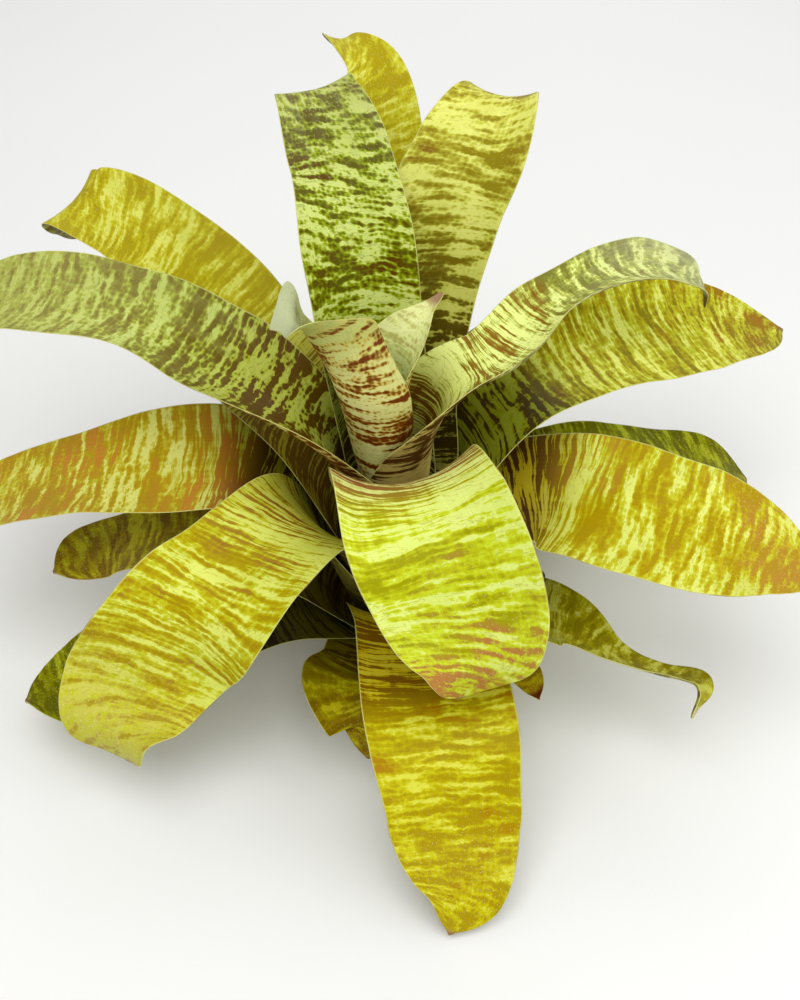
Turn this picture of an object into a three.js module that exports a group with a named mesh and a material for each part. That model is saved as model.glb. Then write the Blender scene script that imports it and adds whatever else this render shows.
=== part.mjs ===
// A tank bromeliad: a rosette of broad strap leaves whose sheaths nest round one short stem.
// Millimetres, +Z up. The origin is the middle of the stem's cut foot, which the plant rests on.
// +X is the rosette's right and -Y its front.
import * as THREE from "three";

// The stem, cut flat at the bottom
const STEM_FOOT_RADIUS = 15;
const STEM_TIP_RADIUS = 4.5;
const STEM_HEIGHT = 48;
const STEM_BUD = 2; // height of the growing point on top
const STEM_SIDES = 28;

// The crown: each older leaf grows lower on the stem and lies one layer further out
const LOWEST_FOOT = 5;
const FOOT_STEP = 1.8;
const FOOT_CLEARANCE = 1.25; // from the stem's side to a leaf's outer face
const FLARE_RISE = 2.4; // each foot leaves the stem at a slant
const FLARE_SHARE = 0.55; // of the way out to the upright part
const CUP_HEIGHT = 16; // from a sheath's foot to where it stands upright
const CUP_RADIUS = 9.5;
const CUP_STEP = 1.25;

// The three leaves of the heart nest round an axis that leans further out the higher it gets
const HEART_HEADING = 215;
const HEART_LEAN = [
  [60, 0],
  [84, 5],
  [106, 7.5],
  [132, 9.3],
  [160, 11],
];

// The blade
const THICKNESS = 0.8;
const ALONG = [
  0, 0.04, 0.09, 0.15, 0.21, 0.28, 0.35, 0.43, 0.51, 0.59, 0.67, 0.75, 0.83, 0.89, 0.94, 0.975, 1,
]; // shares of the length at the cross-sections
const MOST_WRAP = 125; // degrees either side of the rib
const LEAST_CUP = 0.5; // degrees, in the flattest part of a blade
const POINT_WIDTH = 1.4; // of the blunt end of the leaf's point
const STEP_ALONG = 0.004; // shares of the length and half width that a face's slope is taken over
const STEP_ACROSS = 0.02;

// What a leaf has where its own entry names nothing else
const PLAIN_LEAF = {
  taper: [1, 1],
  cup: [50, 35, 20, 12, 10],
  roll: [0, 0],
  skew: [0, 0],
  free: [0.15, 0.39],
  lean: 0,
  columns: 8,
};

// Share of the full width along the leaf, from its foot to its point
const STRAP = [
  [0, 0.9],
  [0.14, 1.12],
  [0.3, 0.96],
  [0.45, 0.95],
  [0.62, 1],
  [0.76, 0.97],
  [0.84, 0.9],
  [0.89, 0.81],
  [0.93, 0.66],
  [0.96, 0.46],
  [0.98, 0.26],
  [1, 0.03],
];

// Every leaf, from the innermost to the outermost. Its rib is a row of [reach, side, height] points in
// millimetres: out from the stem's axis along the heading, to the left of it, and above the cut foot.
// The lists below run evenly spaced from the leaf's foot to its point:
//   taper  share of the width that the leaf has there
//   cup    half the angle, in degrees, that the blade's cross-section bends through
//   roll   degrees that the left margin is lifted by
//   skew   how far the blade sits to the left of its rib, in half widths
// free gives the shares of the length between which the sheath turns into the free blade, and lean
// the share of the heart's lean that the leaf follows.
const LEAVES = [
  {
    name: "heart_leaf",
    heading: 40,
    width: 30,
    taper: [1, 1, 1, 0.7],
    rib: [
      [8.8, 0, 62], [6, 0, 71], [2.7, 0, 84], [1.5, 0, 106], [0.8, 0, 130], [2, 0, 145],
      [9, 0, 154], [21, 2, 158],
    ],
    cup: [120, 112, 92, 70, 40],
    free: [0.68, 0.9],
    lean: 1,
    columns: 12,
  },
  {
    name: "rolled_leaf",
    heading: 215,
    width: 58,
    taper: [0.8, 0.8, 0.82, 0.9, 1, 1, 0.7],
    rib: [[14, 0, 84], [18, 0, 106], [23, -2, 132], [29, -4, 152], [36, -8, 165], [43, -13, 163]],
    cup: [125, 125, 128, 128, 119, 100, 40],
    free: [0.66, 0.92],
    lean: 1,
    columns: 12,
  },
  {
    name: "leaf_right_hooked",
    heading: 27,
    width: 50,
    taper: [1.05, 1.25, 1.22, 0.86, 0.88, 1.02, 0.4],
    rib: [
      [9.4, 0, 84], [9.8, 0, 95], [10.7, 0, 108], [13.3, 0.3, 118.2], [16.6, -1, 125.9],
      [22.8, -3.1, 130.3], [33.2, -5.2, 131.5], [46.6, -2.6, 134.8], [64.8, 1.4, 141.8],
      [85.6, 1.4, 145.5], [102.8, 1.1, 144.5], [115, -1.5, 141.6], [123, -7.6, 138.3],
      [132.6, -1.1, 122.7],
    ],
    cup: [125, 120, 95, 75, 62, 52, 45, 38, 30],
    roll: [0, -4, 0, -17, 19],
    skew: [0, -0.15, -0.3, -0.4, -0.41, -0.27, -0.16, 0.21, -0.03],
    free: [0.37, 0.52],
    lean: 0.6,
    columns: 12,
  },
  {
    name: "leaf_back_tall",
    heading: 117,
    width: 50,
    taper: [1, 0.97, 1.02, 0.82, 0.4],
    rib: [
      [19, 0, 100], [23.4, 0, 136], [31, 0.2, 168.6], [47.3, -0.8, 194.2], [59.7, 2.1, 214.2],
      [66.7, -1.7, 208.4], [85.3, -8.6, 194],
    ],
    cup: [80, 60, 40, 30, 30],
    skew: [0, 0.1, 0.17, 0.07, -0.08],
    columns: 12,
    roll: [0, 0, 3, -6, 10],
  },
  {
    name: "leaf_left_upper",
    heading: 163,
    width: 50,
    taper: [1, 1.09, 1.1, 1.06, 0.84, 0.99, 0.98],
    rib: [
      [21, 0, 90], [26, 0, 105], [35.8, -0.5, 116.9], [66.5, -2.7, 124.9], [101.9, -3.4, 134.6],
      [144.1, -0.6, 137.2], [182.7, 0.8, 128.8],
    ],
    cup: [80, 60, 45, 35, 20],
    roll: [0, -17, -14, -10, -14],
    skew: [0, 0.41, 0.6, 0.23, 0, 0.04, -0.04],
    free: [0.2, 0.5],
    columns: 12,
  },
  {
    name: "leaf_back_right",
    heading: 68,
    width: 48,
    taper: [1, 0.94, 1, 0.86, 0.4],
    rib: [
      [21, 0, 78], [30.8, 5, 105.7], [42.9, 2.5, 145.6], [48.9, -0.5, 179.1], [56.7, -7.4, 200.3],
      [69.9, -8.6, 207.6], [95.2, -3.3, 187.5],
    ],
    cup: [80, 50, 25, 25, 30],
    skew: [0, 0.12, 0.29, -0.01, -0.01],
    columns: 10,
    roll: [0, 0, 0, 6, -5],
  },
  {
    name: "leaf_front",
    heading: 275,
    width: 56,
    taper: [1, 0.95, 1.05, 1.09, 0.82],
    rib: [
      [24, -2, 82], [28, -3, 100], [35.6, -1.1, 114.9], [59.1, 4.5, 115.9], [77.9, 12.3, 103.8],
      [91.5, 17, 83.8], [90.5, 11.5, 65.6],
    ],
    cup: [60, 50, 25, 15, 15],
    roll: [0, 10, 10, 23, -20],
    columns: 10,
  },
  {
    name: "leaf_right_upper",
    heading: 32,
    width: 58,
    rib: [
      [32, 0, 94], [49.6, 1.4, 107.4], [74, 2.3, 109.7], [111.2, 2.3, 107.1], [148.1, 2, 99.8],
      [188.5, -6.2, 87.7],
    ],
    cup: [70, 45, 30, 20, 10],
    roll: [0, 5, 11, 14, 9],
    columns: 10,
    taper: [1, 1, 1.01, 1.02, 0.89],
  },
  {
    name: "leaf_back_left",
    heading: 141,
    width: 54,
    rib: [
      [34, 0, 82], [66, 0, 102], [99.4, -5.2, 121.4], [139, -3, 141.4], [163.6, 5.2, 146],
      [171.8, -1, 133.7], [180.8, -6.6, 117.1],
    ],
    cup: [70, 45, 30, 20, 15],
    roll: [0, -3, -8, -16, -12],
    skew: [0, 0.12, 0.08, 0.02, -0.16],
    columns: 10,
    taper: [1, 0.97, 1.08, 0.75, 0.66],
  },
  {
    name: "leaf_right_front",
    heading: 344,
    width: 58,
    taper: [1, 0.96, 1.1, 0.95, 0.85],
    rib: [
      [33, 0, 77], [54.3, 6.7, 82.5], [83.5, 3, 86.8], [113.6, 0.9, 85.9], [137.6, 1, 81.1],
      [154.7, -1.7, 74.4],
    ],
    cup: [60, 40, 25, 15, 10],
    roll: [0, -5, 8, 16, 4],
    columns: 10,
  },
  {
    name: "leaf_left_front",
    heading: 218,
    width: 58,
    taper: [1, 0.88, 0.89, 0.96, 0.93],
    rib: [
      [36, 0, 81], [45.8, 1.8, 90.1], [63.5, 4.6, 89.4], [85.3, 7.3, 82.8], [105.4, -1.2, 62.3],
      [119.5, -3.3, 46.1], [129.4, 1.8, 37.4], [129.5, 4.8, 30.3], [126.9, 5.9, 22.5],
    ],
    cup: [60, 40, 25, 15, 15],
    columns: 10,
    roll: [0, 6, -8, -53, -18],
  },
  {
    name: "leaf_left",
    heading: 178,
    width: 54,
    rib: [
      [38, 0, 76], [59.4, -1, 88.4], [92.8, -1, 87.2], [124.1, -1.3, 81.2], [152.1, -0.5, 72.3],
      [179.8, 0, 62.7],
    ],
    cup: [60, 40, 25, 15, 10],
    roll: [0, -2, -10, 3, -2],
    taper: [1, 1.01, 1.04, 0.97, 0.99],
  },
  {
    name: "leaf_back_far",
    heading: 98,
    width: 50,
    taper: [1, 0.92, 0.88, 0.73, 0.46],
    rib: [
      [47, 0, 70], [63, 0, 110], [67.3, -2.1, 147.8], [76.8, -3.4, 181.9], [92.1, -2.5, 205.7],
      [103.1, 9.5, 212], [109.8, 8, 205.5],
    ],
    cup: [60, 40, 25, 20, 20],
    roll: [0, 0, 8, 23, 18],
  },
  {
    name: "leaf_front_under",
    heading: 279,
    width: 51,
    taper: [1, 1, 1.08, 0.95, 0.73],
    rib: [
      [38, 0, 50], [66, 0, 54], [97.6, 0.5, 44.7], [114.7, 1.2, 24.7], [132.3, 0.8, 12.7],
      [140.2, -5.4, 3],
    ],
    roll: [0, 0, 4, -1, -7],
  },
  {
    name: "leaf_right_under",
    heading: 20,
    width: 50,
    rib: [
      [40, 0, 52], [49.9, 0.9, 64], [67.9, -0.3, 70.6], [108.2, -1.6, 64.5], [139.9, -2.7, 52.2],
      [155.2, -3.1, 42.3],
    ],
    roll: [0, 0, -1, -6, 11],
    taper: [1, 1, 0.98, 0.98, 1],
  },
  {
    name: "leaf_right_drooping",
    heading: 328,
    width: 46,
    taper: [1, 1.02, 0.72, 0.28, 0.3],
    rib: [
      [42, 0, 40], [58.4, -5.8, 52.5], [72.6, 0.5, 47.6], [91.8, 1, 42.5], [109.8, 4.4, 39.5],
      [125.1, 2.9, 44], [128.4, -10.5, 40.6],
    ],
    cup: [50, 35, 25, 25, 40],
    roll: [0, 2, -10, -25, -15],
  },
  {
    name: "leaf_left_under",
    heading: 183,
    width: 46,
    rib: [
      [42, 0, 42], [67, -2.6, 55.4], [91, -3, 56.5], [114.4, -1.4, 52.9], [133.6, 7.5, 50.9],
    ],
    roll: [0, 0, 0, 9, 4],
    taper: [1, 1, 1, 0.97, 1.01],
  },
  {
    name: "leaf_left_low",
    heading: 201,
    width: 46,
    rib: [
      [42, 0, 32], [66.3, 0.3, 33.1], [103.3, 1.7, 28], [137, 3.1, 24.3], [150.5, 3.7, 26.5],
    ],
    roll: [0, 0, 0, -11, 5],
    taper: [1, 1, 1, 1.08, 0.98],
  },
  {
    name: "leaf_front_left_under",
    heading: 256,
    width: 42,
    rib: [
      [42, 0, 24], [55.8, -1.8, 31.4], [68.5, 9.5, 27.3], [78.8, 7.3, 19.1],
    ],
    roll: [0, 0, -2, -5, 6],
    taper: [1, 1, 1.09, 0.98, 0.92],
  },
  {
    name: "leaf_front_right_under",
    heading: 308,
    width: 31,
    rib: [[44, 0, 22], [57, 0, 33], [69, 0, 38], [82, 0, 36]],
  },
  {
    name: "leaf_back_low_left",
    heading: 125,
    width: 52,
    rib: [[42, 0, 30], [70, 0, 38], [110, 0, 28], [140, 0, 4]],
  },
  {
    name: "leaf_back_low_right",
    heading: 62,
    width: 52,
    rib: [[43, 0, 26], [70, 0, 36], [110, 0, 26], [140, 0, 4]],
  },
];

const UP = new THREE.Vector3(0, 0, 1);

const radians = THREE.MathUtils.degToRad;
const lerp = THREE.MathUtils.lerp;

// A smooth curve through values that are evenly spaced from 0 to 1
function eased(values, u) {
  const last = values.length - 1;
  const place = Math.min(Math.max(u, 0), 1) * last;
  const i = Math.min(Math.floor(place), last - 1);
  return lerp(values[i], values[i + 1], THREE.MathUtils.smoothstep(place - i, 0, 1));
}

// A line through [place, value] pairs, level beyond either end
function profile(pairs, place) {
  const u = THREE.MathUtils.clamp(place, pairs[0][0], pairs[pairs.length - 1][0]);
  const next = Math.max(pairs.findIndex(([at]) => at >= u), 1);
  const [a, b] = [pairs[next - 1], pairs[next]];
  return lerp(a[1], b[1], (u - a[0]) / (b[0] - a[0]));
}

function stemRadius(height) {
  return lerp(STEM_FOOT_RADIUS, STEM_TIP_RADIUS, height / STEM_HEIGHT);
}

// The curve of a leaf's rib: from the stem, through the cup and waist of its layer, then out
function ribOf(leaf, layer) {
  const foot = LOWEST_FOOT + FOOT_STEP * (LEAVES.length - 1 - layer);
  const reach = stemRadius(foot) + FOOT_CLEARANCE;
  const cupReach = CUP_RADIUS + CUP_STEP * layer;
  const points = [
    [reach, 0, foot],
    [lerp(reach, cupReach, FLARE_SHARE), 0, foot + FLARE_RISE],
    [cupReach, 0, foot + CUP_HEIGHT],
    ...leaf.rib,
  ];
  return new THREE.CatmullRomCurve3(points.map((p) => new THREE.Vector3(...p)));
}

// One point of the leaf's under face. u runs from foot to point, across from -1 to 1.
function surfacePoint(leaf, rib, u, across) {
  const v = across + eased(leaf.skew, u);
  const on = rib.getPointAt(u);
  const along = rib.getTangentAt(u);
  const left = new THREE.Vector3(0, 1, 0);
  left.addScaledVector(along, -left.dot(along)).normalize();
  left.applyAxisAngle(along, radians(eased(leaf.roll, u)));
  const up = new THREE.Vector3().crossVectors(along, left);
  const width = Math.max(leaf.width * eased(leaf.taper, u) * profile(STRAP, u), POINT_WIDTH);

  // As a free blade: an arc across the rib
  const bend = radians(Math.max(eased(leaf.cup, u), LEAST_CUP));
  const radius = width / (2 * bend);
  const blade = on.clone();
  blade.addScaledVector(left, radius * Math.sin(bend * v));
  blade.addScaledVector(up, radius * (1 - Math.cos(bend * v)));

  // As a sheath: a level arc round the axis of the nest
  const lean = leaf.lean * profile(HEART_LEAN, on.z);
  const axis = new THREE.Vector3(lean, 0, on.z);
  axis.applyAxisAngle(UP, radians(HEART_HEADING - leaf.heading));
  const sheath = on.clone().sub(axis);
  const wrap = Math.min(width / (2 * sheath.length()), radians(MOST_WRAP));
  sheath.applyAxisAngle(UP, wrap * v).add(axis);

  const free = THREE.MathUtils.smoothstep(u, ...leaf.free);
  return sheath.lerp(blade, free);
}

// The outward normal of the upper face, which is the one towards the stem
function surfaceNormal(leaf, rib, u, v) {
  const [u0, u1] = [Math.max(u - STEP_ALONG, 0), Math.min(u + STEP_ALONG, 1)];
  const [v0, v1] = [Math.max(v - STEP_ACROSS, -1), Math.min(v + STEP_ACROSS, 1)];
  const along = surfacePoint(leaf, rib, u1, v).sub(surfacePoint(leaf, rib, u0, v));
  const across = surfacePoint(leaf, rib, u, v1).sub(surfacePoint(leaf, rib, u, v0));
  return along.cross(across).normalize();
}

// A closed thin solid: the under face, the upper face and the margin between them
function leafGeometry(leaf, layer) {
  const rib = ribOf(leaf, layer);
  const rows = ALONG.length;
  const strips = leaf.columns;
  const columns = strips + 1;
  const under = [];
  const upper = [];
  for (const u of ALONG) {
    for (let c = 0; c < columns; c++) {
      const v = (2 * c) / strips - 1;
      const point = surfacePoint(leaf, rib, u, v);
      const lift = surfaceNormal(leaf, rib, u, v).multiplyScalar(THICKNESS);
      under.push(...point.toArray());
      upper.push(...point.add(lift).toArray());
    }
  }
  const index = [];
  const upperStart = rows * columns;
  const quad = (a, b, c, d) => index.push(a, b, c, a, c, d);
  for (let r = 0; r < rows - 1; r++) {
    for (let c = 0; c < strips; c++) {
      const a = r * columns + c;
      const [b, d] = [a + 1, a + columns];
      const e = d + 1;
      quad(a, b, e, d);
      quad(upperStart + a, upperStart + d, upperStart + e, upperStart + b);
    }
    const [near, far] = [r * columns, (r + 1) * columns];
    quad(near, far, upperStart + far, upperStart + near);
    quad(near + strips, upperStart + near + strips, upperStart + far + strips, far + strips);
  }
  const end = (rows - 1) * columns;
  for (let c = 0; c < strips; c++) {
    quad(c, upperStart + c, upperStart + c + 1, c + 1);
    quad(end + c, end + c + 1, upperStart + end + c + 1, upperStart + end + c);
  }
  const geometry = new THREE.BufferGeometry();
  geometry.setAttribute("position", new THREE.Float32BufferAttribute([...under, ...upper], 3));
  geometry.setIndex(index);
  geometry.computeVertexNormals();
  return geometry;
}

// A cone with a flat cut foot and a low bud on top
function stemGeometry() {
  const outline = [
    [0, 0],
    [STEM_FOOT_RADIUS, 0],
    [STEM_TIP_RADIUS, STEM_HEIGHT],
    [0, STEM_HEIGHT + STEM_BUD],
  ].map(([r, z]) => new THREE.Vector2(r, z));
  const geometry = new THREE.LatheGeometry(outline, STEM_SIDES);
  geometry.rotateX(Math.PI / 2);
  return geometry;
}

const LEAF_SKIN = { color: 0xb4b83a, roughness: 0.45, metalness: 0 };
const STEM_SKIN = { color: 0x8a6f4a, roughness: 0.9, metalness: 0 };

const plant = new THREE.Group();

const stem = new THREE.Mesh(stemGeometry(), new THREE.MeshStandardMaterial(STEM_SKIN));
stem.name = "stem";
plant.add(stem);

LEAVES.forEach((entry, layer) => {
  const leaf = { ...PLAIN_LEAF, ...entry };
  const skin = new THREE.MeshStandardMaterial(LEAF_SKIN);
  const mesh = new THREE.Mesh(leafGeometry(leaf, layer), skin);
  mesh.name = leaf.name;
  mesh.rotation.z = radians(leaf.heading);
  plant.add(mesh);
});

export default plant;
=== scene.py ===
"""The visible bromeliad: banded leaves and their short stem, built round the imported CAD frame."""

import logging
import math
from dataclasses import dataclass, replace
from enum import Enum

import bpy
import numpy as np
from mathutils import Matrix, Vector


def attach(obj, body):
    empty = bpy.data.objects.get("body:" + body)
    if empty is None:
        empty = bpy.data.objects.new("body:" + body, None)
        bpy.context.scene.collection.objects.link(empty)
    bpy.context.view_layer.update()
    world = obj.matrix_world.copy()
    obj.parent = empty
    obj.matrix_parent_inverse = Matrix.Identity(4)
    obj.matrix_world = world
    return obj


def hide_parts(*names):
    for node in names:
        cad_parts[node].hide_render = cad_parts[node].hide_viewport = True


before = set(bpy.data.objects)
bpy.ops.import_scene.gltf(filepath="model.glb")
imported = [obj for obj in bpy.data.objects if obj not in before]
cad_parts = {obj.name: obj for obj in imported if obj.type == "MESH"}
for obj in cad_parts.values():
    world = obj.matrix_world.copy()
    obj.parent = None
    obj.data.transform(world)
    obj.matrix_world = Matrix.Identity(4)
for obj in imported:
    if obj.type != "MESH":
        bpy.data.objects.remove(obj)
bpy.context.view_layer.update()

logging.basicConfig(level=logging.INFO, format="%(message)s")
log = logging.getLogger("bromeliad")

MM = 0.001
ROOT_BODY = "root"
LEAF_UV = "leaf_uv"
FULL_TURN = 2 * math.pi
MIX_UNDER, MIX_OVER, MIX_RESULT = 6, 7, 2

Band = tuple[float, float]
Colour = tuple[float, float, float, float]
Place = tuple[float, float, float]

# The crown, as the frame has it: millimetres, from the innermost leaf outwards
STEM_FOOT_RADIUS = 15.0
STEM_TIP_RADIUS = 4.5
STEM_HEIGHT = 48.0
LOWEST_FOOT = 5.0
FOOT_STEP = 1.8
FOOT_CLEARANCE = 1.25
FLARE_RISE = 2.4
FLARE_SHARE = 0.55
CUP_HEIGHT = 16.0
CUP_RADIUS = 9.5
CUP_STEP = 1.25
HEART_HEADING = 215.0
HEART_LEAN = ((60, 0), (84, 5), (106, 7.5), (132, 9.3), (160, 11))
MOST_WRAP = 125.0
THICKNESS = 0.8
MARGIN_SHARE = 0.45
POINT_WIDTH = 0.5
LEAST_BEND = 0.5

# Share of the full width along a leaf, as far as all leaves have it alike
STRAP_BODY = (
    (0, 0.9), (0.07, 1.02), (0.14, 1.12), (0.22, 1.04), (0.3, 0.96), (0.45, 0.95), (0.62, 1),
    (0.76, 0.97),
)

# The rest: a round end with a short point, a dry tail, and an end that opens like a sail
STRAP = (
    *STRAP_BODY, (0.84, 0.9), (0.89, 0.81), (0.93, 0.66), (0.955, 0.5), (0.972, 0.35), (0.984, 0.2),
    (0.991, 0.09), (1, 0.01),
)
TAILED = (
    *STRAP_BODY, (0.83, 0.84), (0.87, 0.62), (0.9, 0.4), (0.925, 0.24), (0.95, 0.15), (0.975, 0.1),
    (0.99, 0.07), (1, 0.01),
)
SAILED = (
    *STRAP_BODY, (0.84, 0.86), (0.88, 0.8), (0.905, 0.62), (0.93, 0.5), (0.95, 0.56), (0.96, 0.36),
    (0.97, 0.22), (0.985, 0.12), (1, 0.01),
)

# Every leaf has its own patterns and its own waves
SEED_STEP = 37.3
BACK_SEED = 7.7
WAVE_SEED = 100
STEM_SEED = 7


class Skin(Enum):
    """A leaf's kind: inner, outer or under."""

    INNER = "inner_leaf"
    OUTER = "outer_leaf"
    UNDER = "under_leaf"


def linear(code: int) -> Colour:
    """Turns a hexadecimal screen colour into a linear one.

    Args:
        code: the colour as 0xRRGGBB.

    Returns:
        Red, green, blue and alpha.
    """
    shares = [((code >> shift) & 255) / 255 for shift in (16, 8, 0)]
    lit = [s / 12.92 if s <= 0.04045 else ((s + 0.055) / 1.055) ** 2.4 for s in shares]
    return (*lit, 1.0)


class Signal:
    """A shader socket that Python's arithmetic adds Math nodes to."""

    def __init__(self, shop: "Shop", socket: bpy.types.NodeSocket) -> None:
        """Keeps the socket and the material it belongs to."""
        self.shop = shop
        self.socket = socket

    def sibling(self, output: int | str) -> "Signal":
        """Another output of the same node."""
        return Signal(self.shop, self.socket.node.outputs[output])

    def __add__(self, other: "Signal | float") -> "Signal":
        """Self plus other."""
        return self.shop.math("ADD", self, other)

    def __sub__(self, other: "Signal | float") -> "Signal":
        """Self less other."""
        return self.shop.math("SUBTRACT", self, other)

    def __rsub__(self, other: float) -> "Signal":
        """Other less self."""
        return self.shop.math("SUBTRACT", other, self)

    def __mul__(self, other: "Signal | float") -> "Signal":
        """Self times other."""
        return self.shop.math("MULTIPLY", self, other)

    def __abs__(self) -> "Signal":
        """Self without its sign."""
        return self.shop.math("ABSOLUTE", self)

    __radd__ = __add__
    __rmul__ = __mul__


@dataclass(frozen=True)
class Sheet:
    """A sheet of noise: its cycles per millimetre across and along a leaf, and its strength."""

    across: float
    along: float
    seed: float
    strength: float = 1.0
    octaves: float = 2.0


class Shop:
    """Builds one material's nodes."""

    noise_roughness: float = 0.55
    noise_middle: float = 0.5
    noise_gain: float = 2.8

    def __init__(self, name: str) -> None:
        """Starts an empty material.

        Args:
            name: its name.
        """
        self.material = bpy.data.materials.new(name)
        self.material.use_nodes = True
        self.tree = self.material.node_tree
        self.tree.nodes.clear()

    def node(self, kind: str, settings: dict, inputs: dict, output: int | str = 0) -> Signal:
        """Adds one node.

        Args:
            kind: the node's type, without its ShaderNode prefix.
            settings: the node's own settings, which are set first.
            inputs: socket names or numbers, each with a value or a signal.
            output: the socket to hand back.

        Returns:
            The chosen output.
        """
        made = self.tree.nodes.new("ShaderNode" + kind)
        for key, value in settings.items():
            setattr(made, key, value)
        for key, value in inputs.items():
            if isinstance(value, Signal):
                self.tree.links.new(value.socket, made.inputs[key])
            else:
                made.inputs[key].default_value = value
        return Signal(self, made.outputs[output]) if made.outputs else None

    def math(self, operation: str, *values: "Signal | float") -> Signal:
        """Adds a Math node on the values given."""
        return self.node("Math", {"operation": operation}, dict(enumerate(values)))

    def step(self, value: Signal, low: float, high: float) -> Signal:
        """A smooth rise from 0 at low to 1 at high."""
        ends = {"Value": value, "From Min": low, "From Max": high}
        return self.node("MapRange", {"interpolation_type": "SMOOTHSTEP"}, ends)

    def blend(
        self, mask: "Signal | float", under: "Signal | tuple", over: "Signal | tuple"
    ) -> Signal:
        """Lays one colour over another where the mask is 1."""
        inputs = {0: mask, MIX_UNDER: under, MIX_OVER: over}
        return self.node("Mix", {"data_type": "RGBA"}, inputs, MIX_RESULT)

    def noise(self, x: Signal, y: Signal, seed: float, detail: float) -> Signal:
        """Smooth noise round 0 on a flat sheet.

        Args:
            x: the first coordinate, in cycles.
            y: the second one.
            seed: which sheet.
            detail: octaves.

        Returns:
            The noise, which seldom leaves -1 to 1.
        """
        at = self.node("CombineXYZ", {}, {0: x, 1: y, 2: seed})
        inputs = {"Vector": at, "Scale": 1.0, "Detail": detail, "Roughness": self.noise_roughness}
        return (self.node("TexNoise", {}, inputs) - self.noise_middle) * self.noise_gain

    def sheet(self, sheet: Sheet, x: Signal, y: Signal, seed: float) -> Signal:
        """The noise of one of a leaf's sheets, shifted by the leaf's own seed."""
        made = self.noise(x * sheet.across, y * sheet.along, seed + sheet.seed, sheet.octaves)
        return made if sheet.strength == 1 else made * sheet.strength

    def finish(self, inputs: dict) -> bpy.types.Material:
        """Adds the surface shader with the inputs given.

        Args:
            inputs: the shader's socket names, each with a value or a signal.

        Returns:
            The material.
        """
        shader = self.node("BsdfPrincipled", {}, inputs)
        self.node("OutputMaterial", {}, {"Surface": shader})
        return self.material


# The sheets of noise that every leaf face is painted from
BOW = Sheet(0.022, 0.018, 1)
SHAKE = Sheet(0.11, 0.1, 5, 0.7)
BELTS = Sheet(0.02, 0.075, 21, 0.55, 1.0)
HAIRS = Sheet(0.036, 0.8, 31, 1.15, 3.0)
COLUMNS = Sheet(0.3, 0.03, 41, 0.22)
CLOUDS = Sheet(0.05, 0.035, 51)
PATCHES = Sheet(0.045, 0.05, 61)
LINE_BOW = Sheet(0.1, 0.08, 71, 1.6)
LINES = Sheet(0.09, 0.42, 81)
VEINS = Sheet(1.5, 0.015, 91)
DUST = Sheet(0.22, 0.02, 101, 0.16, 3.0)
FRAY = Sheet(0.5, 0.2, 111, 0.006)
WORN = Sheet(0.1, 0.05, 121, 0.06, 3.0)
GRAIN = Sheet(0.7, 0.35, 131, 0.4, 3.0)

# The round cells that run into rows: their size and spread, and what each field adds
ROW_SEED = 11
CELL_WIDTH = 1.1
CELL_HEIGHT = 0.86
CELL_BLUR = 0.5
CELL_SCATTER = 0.85
CELL_SHARE = 0.5
ROW_SHARE = 0.85
BEAD_EDGE = 0.44
HAIR_GAP = 0.12
FINE_CRISP = 0.6

# How deep in a band each colour starts and is full
HALO_RISE = (-0.42, -0.16)
BAND_RISE = (-0.12, 0.2)
CORE_RISE = (0.15, 0.75)
FINE_RISE = (-0.05, 0.2)
ROOT_RISE = (-0.12, 0.16)
BARE_FALL = (-0.2, 0.1)

# Where on the leaf, and how wide, the other marks come in
END_RISE = (0.7, 0.97)
MARGIN_RISE = (0.98, 0.998)
CLOUD_RISE = (-0.5, 0.9)
RUST_RISE = (-0.25, 0.55)
HAIR_RISE = (0.0, 0.07)
SPECK_RISE = (0.03, 0.1)
SPECK_REACH = (0.55, 0.9)
BLOOM_REACH = 0.4
SPECK_CELL = 0.45

# How far each wash of colour covers, and how high the veins stand
CLOUD_WASH = 0.4
FINE_WASH = 0.75
# The dark wash at the root: darker pigment and painted shade deep in the rosette's throat
ROOT_DARK_AND_SHADE_WASH = 0.92
MARGIN_WASH = 0.35
VEIN_SHADE = 0.06
VEIN_RELIEF = 0.6
BUMP_STRENGTH = 0.3
BUMP_HEIGHT = 0.0004


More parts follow.
